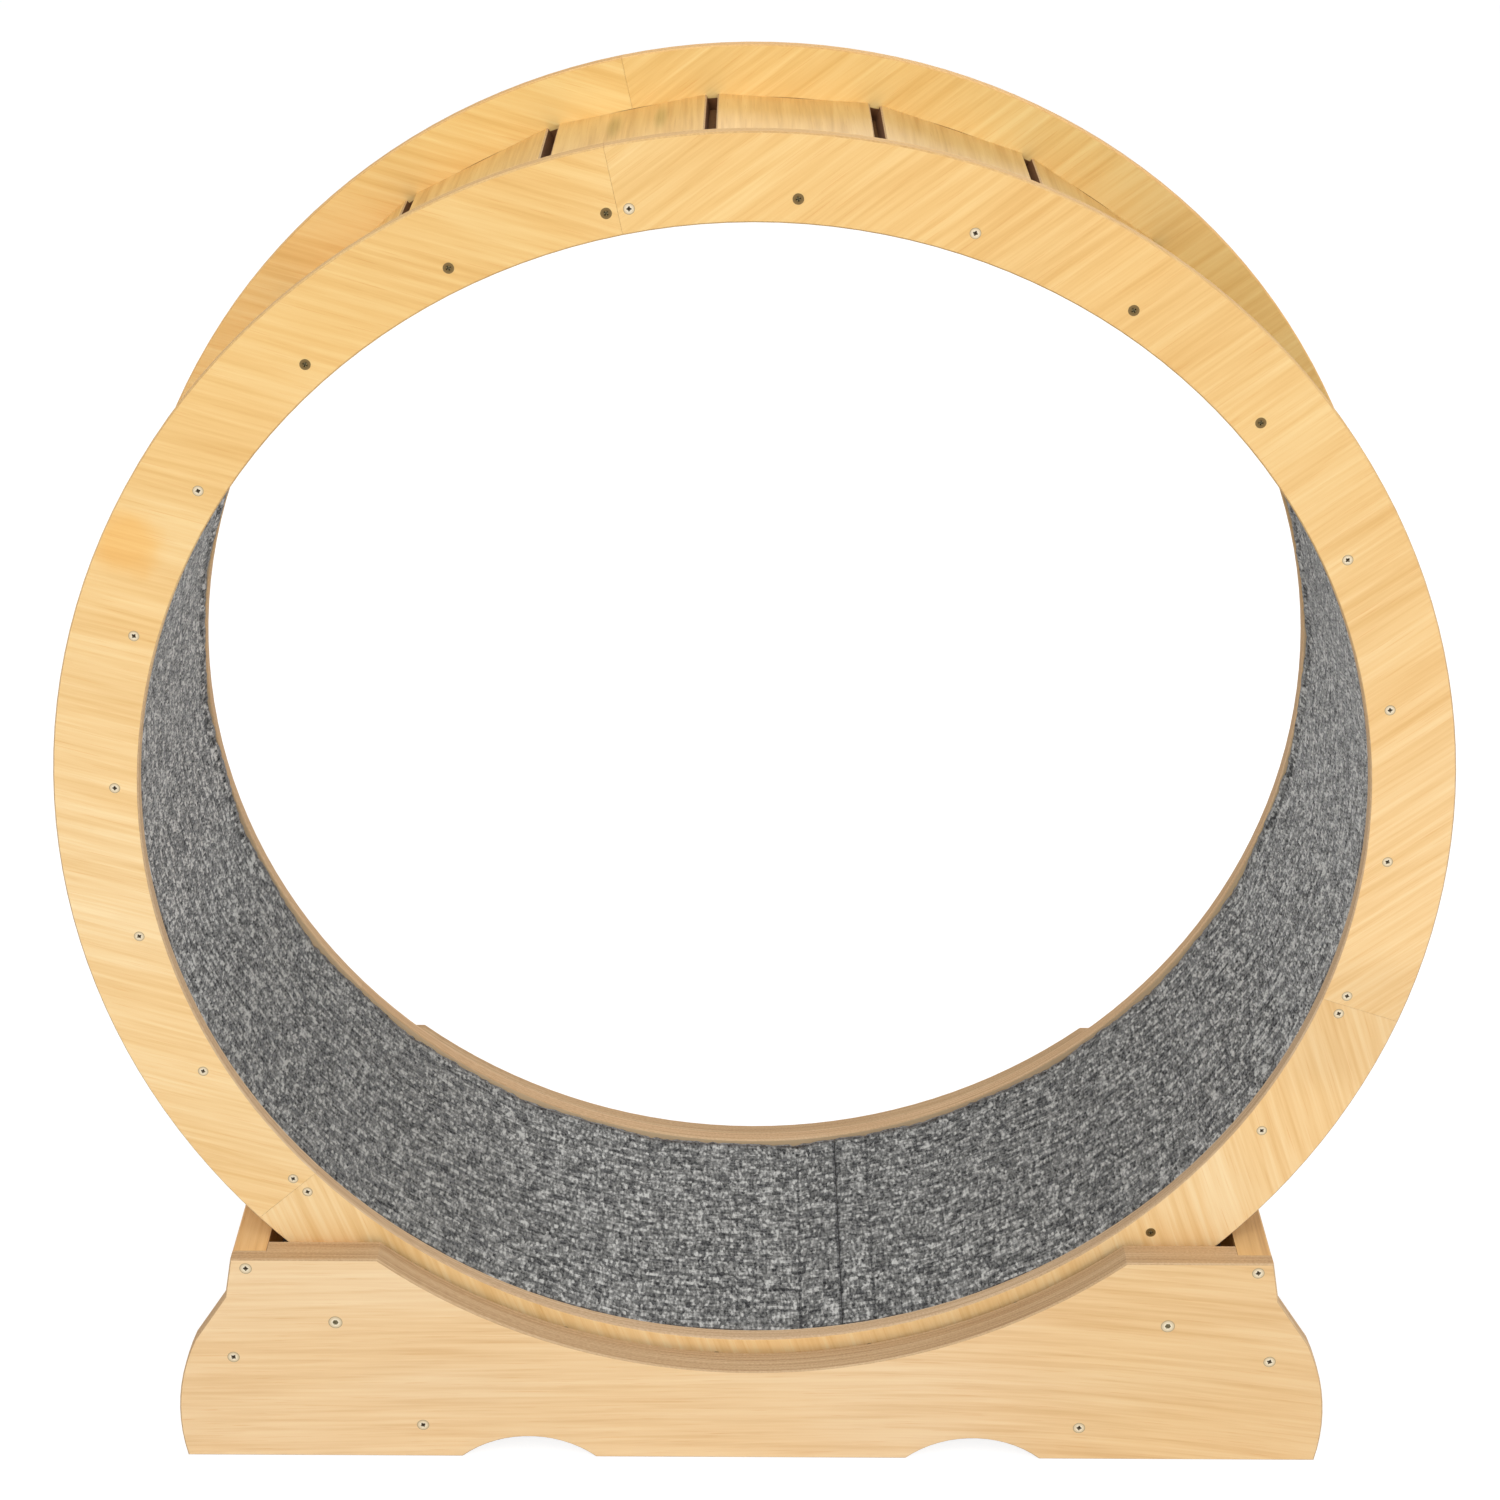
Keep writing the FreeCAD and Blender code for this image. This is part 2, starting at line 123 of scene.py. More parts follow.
def ease(value, low, high):
    """0 below low, 1 above high, and a smooth step between them."""
    inputs = {"Value": value, "From Min": low, "From Max": high}
    return value.node("MapRange", {"interpolation_type": "SMOOTHSTEP"}, inputs)


def mixed(share, first, second, how="MIX"):
    """Colour first at share 0 and second at share 1."""
    settings = {"data_type": "RGBA", "blend_type": how}
    return share.node("Mix", settings, {0: share, 6: first, 7: second}, 2)


def tinted(colour, tint):
    """A colour multiplied by a plain tint of red, green and blue."""
    settings = {"data_type": "RGBA", "blend_type": "MULTIPLY"}
    return colour.node("Mix", settings, {0: 1.0, 6: colour, 7: (*tint, 1)}, 2)


def noise(x, y, z, detail=2.0, roughness=0.5):
    """Soft random value, 0 to 1, with lumps one unit wide in the three numbers given."""
    start = next(value for value in (x, y, z) if isinstance(value, Value))
    place = start.node("CombineXYZ", inputs={"X": x, "Y": y, "Z": z})
    inputs = {"Vector": place, "Scale": 1.0, "Detail": detail, "Roughness": roughness}
    return start.node("TexNoise", inputs=inputs)


bpy.ops.object.select_all(action="DESELECT")
bpy.ops.mesh.primitive_plane_add(size=60, location=(0, 0, -0.0005))
floor = bpy.context.object
floor.name = "studio_floor"
paper = bpy.data.materials.new("white_paper")
paper.use_nodes = True
paper.node_tree.nodes.clear()
page = Value(paper.node_tree)


def seen_directly(start):
    """1 for what the camera, a reflection or a clear piece sees, and 0 for scattered light."""
    kinds = ("Camera", "Glossy", "Transmission")
    straight = [start.node("LightPath", output="Is %s Ray" % kind) for kind in kinds]
    return straight[0].maths("MINIMUM", straight[0] + straight[1] + straight[2], 1.0)


# The paper inside the base lies in deep shade, which is painted: out to the panels and to the
# base's open ends it is painted dark and given no glow, but not at the arches, where light comes
# in.
arch_middle = 0.1717
under_place = page.node("TexCoord", output="Object")
under_x = abs(page.node("SeparateXYZ", inputs={"Vector": under_place}, output="X"))
under_y = abs(page.node("SeparateXYZ", inputs={"Vector": under_place}, output="Y"))
at_arch = ease(abs(under_x - arch_middle), 0.080, 0.062)
past_ends = ease(under_x, 0.41, 0.43)
past_panels = ease(under_y + 0.018 * at_arch, 0.158, 0.174)
open_floor = page.maths("MAXIMUM", past_ends, past_panels)
painted_shade_paper = (0.045, 0.033, 0.025, 1)
pale_paper = (0.28, 0.28, 0.28, 1)
shade_paper = (0.75, 0.75, 0.75, 1)
lit_paper = page.node("BsdfDiffuse", inputs={"Color": mixed(open_floor, painted_shade_paper, pale_paper)})
glow_colour = mixed(open_floor, (0, 0, 0, 1), (1, 1, 1, 1))
glow = page.node("Emission", inputs={"Color": glow_colour, "Strength": 0.86})
shown_paper = page.node("AddShader", inputs={0: lit_paper, 1: glow})
plain_paper = page.node("BsdfDiffuse", inputs={"Color": mixed(open_floor, painted_shade_paper, shade_paper)})
surface = page.node("MixShader", inputs={0: seen_directly(page), 1: plain_paper, 2: shown_paper})
page.join(surface, paper.node_tree.nodes.new("ShaderNodeOutputMaterial").inputs["Surface"])
floor.data.materials.append(paper)

room = bpy.data.worlds.new("pale_room")
room.use_nodes = True
room.node_tree.nodes.clear()
air = Value(room.node_tree)
fill = air.node("Background", inputs={"Color": (1, 1, 1, 1), "Strength": 0.5})
white = air.node("Background", inputs={"Color": (1, 1, 1, 1), "Strength": 1.0})
sky = air.node("MixShader", inputs={0: seen_directly(air), 1: fill, 2: white})
air.join(sky, room.node_tree.nodes.new("ShaderNodeOutputWorld").inputs["Surface"])
bpy.context.scene.world = room

lamp_aim_height = 0.5
lamps = {
    "key_lamp": ((-1.3, -3.0, 3.2), 2.2, 69),
    "side_lamp": ((2.6, -2.2, 2.2), 2.0, 43),
    "top_lamp": ((0.0, 0.6, 3.6), 2.5, 10),
    "back_lamp": ((0.8, 3.2, 2.2), 2.2, 30),
}
for name, (place, size, power) in lamps.items():
    turn = math.atan2(place[0], -place[1])
    tilt = math.atan2(math.hypot(place[0], place[1]), place[2] - lamp_aim_height)
    bpy.ops.object.light_add(type="AREA", location=place, rotation=(tilt, 0, turn))
    lamp = bpy.context.object
    lamp.name = name
    lamp.data.size = size
    lamp.data.energy = power


# ---- The two rings ----
# Each ring is three arcs sawn from twelve-millimetre board that is faced with wood veneer,
# butted end to end over a slat. The veneer runs straight across each arc in its own
# direction, and the sawn edges are left raw and tan.
def new_finish(name):
    """An empty material: the material, its main shader and a first value for its sums."""
    material = bpy.data.materials.new(name)
    material.use_nodes = True
    return material, material.node_tree.nodes["Principled BSDF"], Value(material.node_tree)


def place_on(start):
    """Where a point of the piece is, as three values in metres."""
    place = start.node("TexCoord", output="Object")
    return [start.node("SeparateXYZ", inputs={"Vector": place}, output=axis) for axis in "XYZ"]


def facing_on(start):
    """Which way a point of the piece faces, as three values."""
    facing = start.node("TexCoord", output="Normal")
    return [start.node("SeparateXYZ", inputs={"Vector": facing}, output=axis) for axis in "XYZ"]


def stained(colour, share, tint):
    """The colour as it is at share 0, and multiplied by a tint at share 1."""
    return mixed(share, colour, tinted(colour, tint))


def reach(first, second):
    """The length of the slanting side over two lengths at a right angle."""
    return first.maths("SQRT", first * first + second * second)


def carve(shader, strength, distance, height):
    """Gives a shader fine relief, this many metres deep, from a height of 0 to 1."""
    inputs = {"Strength": strength, "Distance": distance, "Height": height}
    height.join(height.node("Bump", inputs=inputs), shader.inputs["Normal"])


def veneer(along, across, board, light, middle, dark):
    """Straight-grained veneer: its colour and its relief from 0 to 1."""
    drift = across + 0.010 * (noise(along * 2.5, across * 8.0, board, 2.0) - 0.5)
    patches = noise(along * 3.0, drift * 16.0, board + 1.7, 2.0)
    streaks = noise(along * 6.0, drift * 160.0, board + 7.3, 2.0)
    fibres = noise(along * 14.0, drift * 430.0, board + 3.1, 2.0)
    pores = ease(noise(along * 26.0, drift * 1500.0, board + 5.7, 1.0), 0.34, 0.27)
    tone = 0.5 + 0.5 * (patches - 0.5) + 0.9 * (streaks - 0.5) + 0.5 * (fibres - 0.5)
    stops = [(0.2, dark), (0.5, middle), (0.8, light)]
    colour = tone.node("ValToRGB", {"stops": stops}, {"Fac": tone})
    warmth = ease(noise(along * 4.0, drift * 11.0, board + 11.9, 1.0), 0.35, 0.65)
    colour = stained(colour, 0.6 * warmth, (1.0, 0.955, 0.87))
    colour = stained(colour, 0.3 * pores, dark[:3])
    return colour, 0.5 * streaks + 0.35 * fibres - 0.5 * pores


def raw_edge(along, depth, board, core):
    """The sawn edge of the board, depth counted from its show face: fine tan layers with a pale
    outer layer at each face, a thin glue line under it, and a speckle of fibre."""
    layers = noise(along * 5.0, depth * 700.0, board, 2.0)
    speck = noise(along * 500.0, depth * 900.0, board + 2.0, 2.0)
    from_middle = abs(depth - board_thickness / 2)
    outer_layer = ease(from_middle, 0.0036, 0.0040)
    glue = ease(abs(from_middle - 0.0035), 0.0005, 0.0001)
    tone = 0.47 + 0.7 * (layers - 0.5) + 0.5 * (speck - 0.5) + 0.09 * outer_layer - 0.12 * glue
    dark, middle, light = shade(160, 122, 82), shade(194, 160, 118), shade(218, 190, 150)
    stops = [(0.15, dark), (0.45, middle), (0.75, light)]
    colour = tone.node("ValToRGB", {"stops": stops}, {"Fac": tone})
    return tinted(colour, core), speck


def board_finish(name, show_face, core, grain_angle, number, colours, sweep=0.0):
    """Veneer on both faces of a board that stands across the wheel's axle, and raw edges. A
    panel's grain sweeps down towards the right. On a ring's hidden side, deep shade is painted
    where the slats' ends meet it, and a duller painted shade lies on the strip inside them."""
    material, shader, start = new_finish(name)
    x, y, z = place_on(start)
    facing = facing_on(start)
    turn = math.radians(grain_angle)
    along = x * math.cos(turn) + z * math.sin(turn)
    across = z * math.cos(turn) - x * math.sin(turn)
    if sweep:
        bend = x.maths("MAXIMUM", x - 0.05, 0.0)
        across = across + sweep * (bend * bend)
    depth = show_face - abs(y)
    face_colour, face_relief = veneer(along, across, number + y * 40.0, *colours)
    edge_colour, edge_relief = raw_edge(x + z, depth, number, core)

    # Painted warm light towards the top, on the faces and on the edges, and painted shade towards
    # the right.
    # On a ring's hidden side, more painted shade on the right and low on the right, and a less
    # orange tone near the top.
    height = ease(z, 0.45, 0.90)
    hidden_side = ease(depth, 0.0114, 0.0118)
    low_right = ease(z, 0.95, 0.85) * ease(x, -0.05, 0.05)
    face_colour = stained(face_colour, height, (0.925, 0.865, 0.69))
    face_colour = stained(face_colour, ease(x, -0.2, 0.45), (0.97, 0.945, 0.93))
    face_colour = stained(face_colour, hidden_side * ease(x, 0.10, 0.32), (0.86, 0.87, 0.84))
    face_colour = stained(face_colour, hidden_side * low_right, (0.92, 0.97, 0.93))
    face_colour = stained(face_colour, hidden_side * ease(z, 0.88, 0.97), (1.0, 1.08, 1.09))
    edge_colour = stained(edge_colour, height, (1.14, 1.05, 0.72))
    if sweep:
        # Painted shade on a panel towards the right.
        face_colour = stained(face_colour, ease(x, 0.15, 0.30), (0.98, 0.975, 0.91))
    else:
        # One warm patch at the top left, one dull one low on the right, painted light on the band
        # in the base's cutout, where the ring lies in the panel's shade, and a soft orange knot on
        # the left.
        shown_side = 1 - hidden_side
        top_left = ease(x, -0.08, -0.14) * ease(x, -0.38, -0.28) * ease(z, 0.84, 0.90)
        right_side = ease(x, 0.37, 0.41) * ease(z, 0.44, 0.40) * ease(z, 0.30, 0.34)
        from_knot = reach(x - knot_place[0], z - knot_place[1])
        knot = ease(from_knot + 0.016 * (noise(x * 40.0, z * 40.0, 3.0) - 0.5), 0.032, 0.012)
        face_colour = stained(face_colour, top_left * shown_side, (0.96, 0.92, 0.83))
        face_colour = stained(face_colour, right_side * shown_side, (0.93, 0.92, 0.91))
        face_colour = stained(face_colour, ease(z, 0.12, 0.06), (1.11, 1.05, 1.0))
        face_colour = stained(face_colour, knot * shown_side, (1.0, 0.86, 0.62))

    from_axle = reach(x, z - axle_height)
    within_slats = ease(from_axle, slat_inside + line_blur, slat_inside - line_blur)
    past_inside = ease(from_axle, slat_inside - line_blur, slat_inside + line_blur)
    within_outside = ease(from_axle, slat_outside + line_blur, slat_outside - line_blur)
    # Painted shade on a ring's hidden side: a duller tone on the strip inside the slats, and deep
    # shade where the slats' ends meet it.
    face_colour = mixed(hidden_side * within_slats, face_colour, shade(216, 188, 150))
    face_colour = mixed(hidden_side * past_inside * within_outside, face_colour, slit_shade)

    on_face = ease(abs(facing[1]), 0.8, 0.9)
    start.join(mixed(on_face, edge_colour, face_colour), shader.inputs["Base Color"])
    start.join(0.78 - 0.34 * on_face + 0.08 * (face_relief - 0.5), shader.inputs["Roughness"])
    carve(shader, 0.25, grain_depth, edge_relief + on_face * (face_relief - edge_relief))
    return material


def dress(name, material):
    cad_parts[name].material_slots[0].material = material


axle_height = 0.5295
board_thickness = 0.012
grain_depth = 0.0003
ring_face = 0.151
slat_inside = 0.44845
slat_outside = 0.46135
line_blur = 0.00025
knot_place = (-0.432, 0.742)
# Painted deep shade, where the slats' ends meet a ring and on the slats' side edges in the slits.
slit_shade = shade(108, 68, 34)
ring_colours = (shade(254, 226, 175), shade(247, 211, 153), shade(236, 194, 130))
front_core, back_core = (1.06, 1.07, 1.15), (1.14, 1.10, 1.11)
ring_grain = {
    "front_ring_segment_1": -16, "front_ring_segment_2": 109, "front_ring_segment_3": 37,
    "back_ring_segment_1": -16, "back_ring_segment_2": 20, "back_ring_segment_3": 37,
}
for number, (name, angle) in enumerate(ring_grain.items()):
    core = front_core if name.startswith("front") else back_core
    finish = board_finish(name + "_veneer", ring_face, core, angle, 10.0 * number, ring_colours)
    dress(name, finish)

# ---- The slats ----
# Twenty-four flat slats of the same board join the rings, screwed through both ends, with
# a narrow slit between neighbours. Their veneer runs across the wheel, from ring to ring.
slat_count = 24
first_slat_angle = 101.6
slat_pitch = math.radians(360 / slat_count)
slat_outer_face = 0.461
slat_stains = ((-0.1043, 0.0892), (-0.0700, 0.0912))
slat_finish, slat_shader, start = new_finish("slat_veneer")
x, y, z = place_on(start)
facing = facing_on(start)
around = start.maths("ARCTAN2", z - axle_height, x)
number = start.maths("ROUND", (math.radians(first_slat_angle) - around) / slat_pitch)
middle_angle = math.radians(first_slat_angle) - number * slat_pitch
cosine = start.maths("COSINE", middle_angle)
sine = start.maths("SINE", middle_angle)
sideways = (z - axle_height) * cosine - x * sine
outward = facing[0] * cosine + facing[2] * sine
slat_colours = (shade(238, 201, 131), shade(228, 187, 115), shade(210, 165, 95))
face_colour, face_relief = veneer(y, sideways, number * 5.0, *slat_colours)
# Painted shade on the slats towards the right.
face_colour = stained(face_colour, ease(x, -0.02, 0.14), (0.83, 0.83, 0.83))
for stain_x, stain_y in slat_stains:
    away = reach(x - stain_x, 0.14 * (y - stain_y))
    stain = ease(away, 0.0075, 0.0010) * ease(z, 0.90, 0.95)
    face_colour = stained(face_colour, stain, (0.70, 0.72, 0.60))
depth = slat_outer_face - (z - axle_height) * sine - x * cosine
edge_colour, edge_relief = raw_edge(y, depth, number, (0.95, 0.9, 0.8))
# Painted deep shade on the slats' side edges, inside the slits.
edge_colour = mixed(ease(abs(outward), 0.5, 0.3), edge_colour, slit_shade)
on_face = ease(abs(outward), 0.8, 0.9)
start.join(mixed(on_face, edge_colour, face_colour), slat_shader.inputs["Base Color"])
start.join(0.78 - 0.34 * on_face, slat_shader.inputs["Roughness"])
carve(slat_shader, 0.25, grain_depth, edge_relief + on_face * (face_relief - edge_relief))
for slat in range(1, slat_count + 1):
    dress("slat_%02d" % slat, slat_finish)

# ---- The carpet ----
# A strip of grey heather loop-pile carpet is glued round the inside of the slats, flat on
# each of them, with its two ends butted. The loops stand in rows along the strip.
carpet_width = 0.277
backing_apothem = 0.4489
backing_thickness = 0.0014
pile_apothem = 0.442
seam_angle = 279.2
seam_half_gap = 0.0003
creases = ((275.0, 0.9), (282.6, 0.6))
crease_sink = 0.0016
crease_half_turn = 0.45
curl_height = 0.0026
curl_width = 0.016
corner_crowding = 0.0016
row_drop = 0.0010
loop_columns = 138
loop_steps = 640

bpy.ops.object.select_all(action="DESELECT")
bpy.ops.mesh.primitive_grid_add(
    x_subdivisions=loop_columns, y_subdivisions=loop_steps, size=1, location=(0, 0, 0)
)
pile = bpy.context.object
pile.name = "carpet_pile"
bpy.ops.object.mode_set(mode="EDIT")
bpy.ops.mesh.select_mode(type="EDGE")
bpy.ops.mesh.select_all(action="DESELECT")
bpy.ops.object.mode_set(mode="OBJECT")
for edge in pile.data.edges:
    ends = [pile.data.vertices[index].co.x for index in edge.vertices]
    edge.select = min(ends) > 0.4999 or max(ends) < -0.4999
bpy.ops.object.mode_set(mode="EDIT")
bpy.ops.mesh.extrude_region_move(TRANSFORM_OT_translate={"value": (0, 0, -0.1)})
bpy.ops.mesh.bridge_edge_loops()
bpy.ops.mesh.select_all(action="DESELECT")
bpy.ops.mesh.select_non_manifold()
bpy.ops.mesh.fill_holes(sides=0)
bpy.ops.mesh.select_all(action="SELECT")
bpy.ops.mesh.normals_make_consistent(inside=False)
bpy.ops.object.mode_set(mode="OBJECT")


def eased(share):
    """The share held within 0 and 1, and smoothed at both of them."""
    share = numpy.clip(share, 0, 1)
    return share ** 2 * (3 - 2 * share)


# The flat strip is bent round. Its loops stand unevenly, in rows with a dip between them.
flat = numpy.zeros(len(pile.data.vertices) * 3)
pile.data.vertices.foreach_get("co", flat)
flat = flat.reshape(-1, 3)
column = numpy.rint((flat[:, 0] + 0.5) * loop_columns).astype(int)
step = numpy.rint((flat[:, 1] + 0.5) * loop_steps).astype(int)
on_top = flat[:, 2] > -0.05
chance = numpy.random.RandomState(24)
loop_height = chance.rand(loop_columns + 1, loop_steps + 1)[column, step]
loop_shift = chance.rand(loop_columns + 1, loop_steps + 1)[column, step] - 0.5
loop_lean = chance.rand(loop_columns + 1, loop_steps + 1)[column, step] - 0.5
gap_turn = math.degrees(seam_half_gap / pile_apothem)
turn = gap_turn + (360 - 2 * gap_turn) * step / loop_steps
inside_end = (step > 0) & (step < loop_steps)
turn = turn + numpy.where(inside_end & on_top, 0.22 * loop_lean, 0)
across = carpet_width * (column / loop_columns - 0.5)
across = across + numpy.where(on_top, 0.0008 * loop_shift, 0)
across = numpy.clip(across, -carpet_width / 2, carpet_width / 2)
in_row = column % 2 == 0
sink = numpy.where(in_row, row_drop * loop_height, row_drop + 0.0008 * loop_height) - 0.0005

# The long edges curl up a little, but not at the bottom, where they are trodden down.
place = seam_angle + turn
near_edge = eased((numpy.abs(across) - carpet_width / 2 + curl_width) / 0.012)
off_bottom = eased((numpy.sin(numpy.radians(place)) + 0.57) / 0.40)
sink = sink - curl_height * near_edge * off_bottom
at_side = (column == 0) | (column == loop_columns)
sink = sink + numpy.where(at_side, 0.0003 + 0.0008 * loop_height, 0)
for crease, _ in creases:
    away = numpy.abs((place - crease + 180) % 360 - 180)
    sink = sink + crease_sink * numpy.exp(-((away / crease_half_turn) ** 2))

# The backing lies flat on each slat, and the loops crowd together where two slats meet.
depth = numpy.where(on_top, pile_apothem + sink, backing_apothem - backing_thickness)
half_slat = 180 / slat_count
from_slat = numpy.radians((place - first_slat_angle + half_slat) % (2 * half_slat) - half_slat)
crowding = corner_crowding * numpy.clip(numpy.abs(from_slat) / (slat_pitch / 2), 0, 1) ** 3
radius = depth / numpy.cos(from_slat) - numpy.where(on_top, crowding, 0)
angle = numpy.radians(place)
height = axle_height + radius * numpy.sin(angle)
bent = numpy.stack([radius * numpy.cos(angle), across, height], axis=1)
pile.data.vertices.foreach_set("co", bent.ravel())
strip_place = numpy.stack([across, numpy.radians(turn) * pile_apothem], axis=1)
corners = numpy.zeros(len(pile.data.loops), dtype=int)
pile.data.loops.foreach_get("vertex_index", corners)
pile.data.uv_layers[0].name = "strip"
pile.data.uv_layers[0].data.foreach_set("uv", strip_place[corners].ravel())
pile.data.update()
bpy.ops.object.mode_set(mode="EDIT")
bpy.ops.mesh.select_all(action="SELECT")
bpy.ops.mesh.normals_make_consistent(inside=False)
bpy.ops.object.mode_set(mode="OBJECT")
bpy.ops.object.shade_smooth()

pile_finish, pile_shader, start = new_finish("heather_loop_pile")
strip = start.node("UVMap", {"uv_map": "strip"})
strip_u = start.node("SeparateXYZ", inputs={"Vector": strip}, output="X")
strip_v = start.node("SeparateXYZ", inputs={"Vector": strip}, output="Y")


def loops(output):
    """Round-topped cells along the strip's rows, 215 to a metre across and 380 along."""
    place = start.node("CombineXYZ", inputs={"X": strip_u * 215.0, "Y": strip_v * 380.0})
    settings = {"voronoi_dimensions": "2D", "feature": "F1"}
    inputs = {"Vector": place, "Scale": 1.0, "Randomness": 0.9}
    return start.node("TexVoronoi", settings, inputs, output)


loop_place = loops("Distance")
loop_tint = start.node("SeparateColor", inputs={"Color": loops("Color")}, output="Red")
stroke = noise(strip_u * 170.0, strip_v * 80.0, 0.0, 2.0)
streak = noise(strip_u * 230.0, strip_v * 42.0, 6.0, 2.0)
fleck = noise(strip_u * 260.0, strip_v * 460.0, 4.0, 2.0)
break_in_row = noise(strip_u * 70.0, strip_v * 460.0, 8.0, 2.0)
x, _, z = place_on(start)
tone = 0.65 * (loop_tint - 0.5) + 1.6 * (stroke - 0.5) + 1.0 * (streak - 0.5)
tone = tone + 1.5 * (fleck - 0.5) + 0.8 * (break_in_row - 0.5) - 0.3 * (loop_place - 0.4)
# Painted shade: more contrast at the sides, where the loops shade each other.
tone = 0.45 + (1 + 0.28 * ease(abs(x), 0.28, 0.40)) * tone
strip_length = math.radians(360 - 2 * gap_turn) * pile_apothem
# Painted shade in the seam's gap and in the creases.
from_seam = start.maths("MINIMUM", strip_v, strip_length - strip_v)
fold_and_seam_shade = ease(from_seam, 0.0022, 0.0006)
for crease, crease_depth in creases:
    crease_v = math.radians((crease - seam_angle) % 360) * pile_apothem
    wander = 0.0012 * (noise(strip_u * 60.0, crease, 0.0, 1.0) - 0.5)
    fold_and_seam_shade = fold_and_seam_shade + crease_depth * ease(abs(strip_v + wander - crease_v), 0.0018, 0.0004)
tone = tone - 0.42 * fold_and_seam_shade
yarn = [
    (0.02, shade(27, 27, 29)), (0.45, shade(110, 110, 107)),
    (0.75, shade(161, 160, 157)), (1.0, shade(208, 207, 203)),
]
yarn_colour = tone.node("ValToRGB", {"stops": yarn}, {"Fac": tone})
# Painted shade low on the left and a little low on the right, and painted light on the left side.
low_left = ease(x, -0.12, -0.28) * ease(z, 0.42, 0.30)
low_right = ease(x, 0.12, 0.26) * ease(z, 0.36, 0.28)
left_side = ease(x, -0.38, -0.43) * ease(z, 0.36, 0.46)
yarn_colour = stained(yarn_colour, low_left, (0.74, 0.73, 0.71))
yarn_colour = stained(yarn_colour, low_right, (0.95, 0.94, 0.93))
yarn_colour = stained(yarn_colour, left_side, (1.09, 1.06, 1.05))
# Painted shade along both long edges, in the gap next to the rings.
at_ring = ease(abs(strip_u), carpet_width / 2 - 0.0065, carpet_width / 2 - 0.0030)
yarn_colour = mixed(0.85 * at_ring, yarn_colour, shade(56, 46, 38))
start.join(yarn_colour, pile_shader.inputs["Base Color"])
pile_shader.inputs["Roughness"].default_value = 0.95
pile_shader.inputs["Specular IOR Level"].default_value = 0.15
pile_shader.inputs["Sheen Weight"].default_value = 0.5
pile_shader.inputs["Sheen Roughness"].default_value = 0.5
carve(pile_shader, 0.8, 0.0015, 0.5 * fleck + 0.3 * stroke - 0.7 * loop_place)
pile.data.materials.append(pile_finish)

bpy.ops.object.select_all(action="DESELECT")
corner_radius = backing_apothem / math.cos(slat_pitch / 2)
bpy.ops.mesh.primitive_cylinder_add(
    vertices=slat_count, radius=corner_radius, depth=carpet_width, end_fill_type="NOTHING",
    location=(0, 0, axle_height), rotation=(math.radians(90), 0, 0),
)
backing = bpy.context.object
backing.name = "carpet_backing"
bpy.ops.object.transform_apply(location=True, rotation=True, scale=True)
first_corner = max(backing.data.vertices, key=lambda v: v.co.z).co
first_corner_angle = math.atan2(first_corner.z - axle_height, first_corner.x)
spin = math.radians(first_slat_angle) + slat_pitch / 2 - first_corner_angle
bpy.ops.object.mode_set(mode="EDIT")
bpy.ops.mesh.select_all(action="SELECT")
bpy.ops.transform.rotate(value=spin, orient_axis="Y", center_override=(0, 0, axle_height))
bpy.ops.object.mode_set(mode="OBJECT")
wall = backing.modifiers.new("thickness", "SOLIDIFY")
wall.thickness = backing_thickness
wall.offset = -1
bpy.ops.object.modifier_apply(modifier="thickness")
weave_scale = 2400.0
backing_finish, backing_shader, start = new_finish("carpet_backing_weave")
x, y, z = place_on(start)
around = start.maths("ARCTAN2", z - axle_height, x) * backing_apothem
warp = start.maths("SINE", around * weave_scale)
weft = start.maths("SINE", y * weave_scale)
thread = 0.5 + 0.25 * (warp * weft) + 0.5 * (noise(around * 300.0, y * 300.0, 1.0) - 0.5)
stops = [(0.2, shade(92, 60, 28)), (0.8, shade(148, 104, 56))]
thread_colour = thread.node("ValToRGB", {"stops": stops}, {"Fac": thread})
start.join(thread_colour, backing_shader.inputs["Base Color"])
backing_shader.inputs["Roughness"].default_value = 0.9
carve(backing_shader, 0.6, 0.0005, thread)
backing.data.materials.append(backing_finish)

for piece in (pile, backing):
    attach(piece, "wheel")
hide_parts("carpet_runner")


# ---- The wood screws ----
# Countersunk zinc-plated screws with a cross recess, driven flush through the rings into the
# slats and through the base's outer panels into its end boards and bars. Each recess and each
# rim is painted with shade, and some heads of the front ring have a painted dark reflection.
screw_circle = 0.4562
pair_turn = math.radians(0.967)
ring_head_radius = 0.0038
panel_head_radius = 0.0046
panel_face = 0.180
arc_slats = slat_count / 3
panel_screw_places = ((0.3814, 0.1715), (0.3955, 0.0915), (0.2530, 0.0295))
# Heads given a painted dark reflection, by their place round the wheel.
dark_reflection_screws = (102.6, 116.6, 131.6, 86.6, 56.6, 41.6, 311.6)


def from_ring_screw(x, z):
    """How far a point is from the middle of the nearest screw of a ring, which stand one to a
    slat and in pairs where two arcs of the ring meet, every eighth slat."""
    up = z - axle_height
    steps = (x.maths("ARCTAN2", up, x) - math.radians(first_slat_angle)) / slat_pitch
    nearest = steps.maths("ROUND", steps)
    in_pair = steps.maths("COMPARE", steps.maths("WRAP", nearest, arc_slats, 0.0), 0.0, 0.1)
    sideways = screw_circle * (abs(steps - nearest) * slat_pitch - in_pair * pair_turn)
    return reach(sideways, reach(x, up) - screw_circle)


def from_nearest(places):
    """Makes the function that tells how far a point is from the nearest of some places, each
    found at both ends of the base."""

    def distance(x, z):
        distances = [reach(abs(x) - place_x, z - place_z) for place_x, place_z in places]
        nearest = distances[0]
        for other in distances[1:]:
            nearest = x.maths("MINIMUM", nearest, other)
        return nearest

    return distance


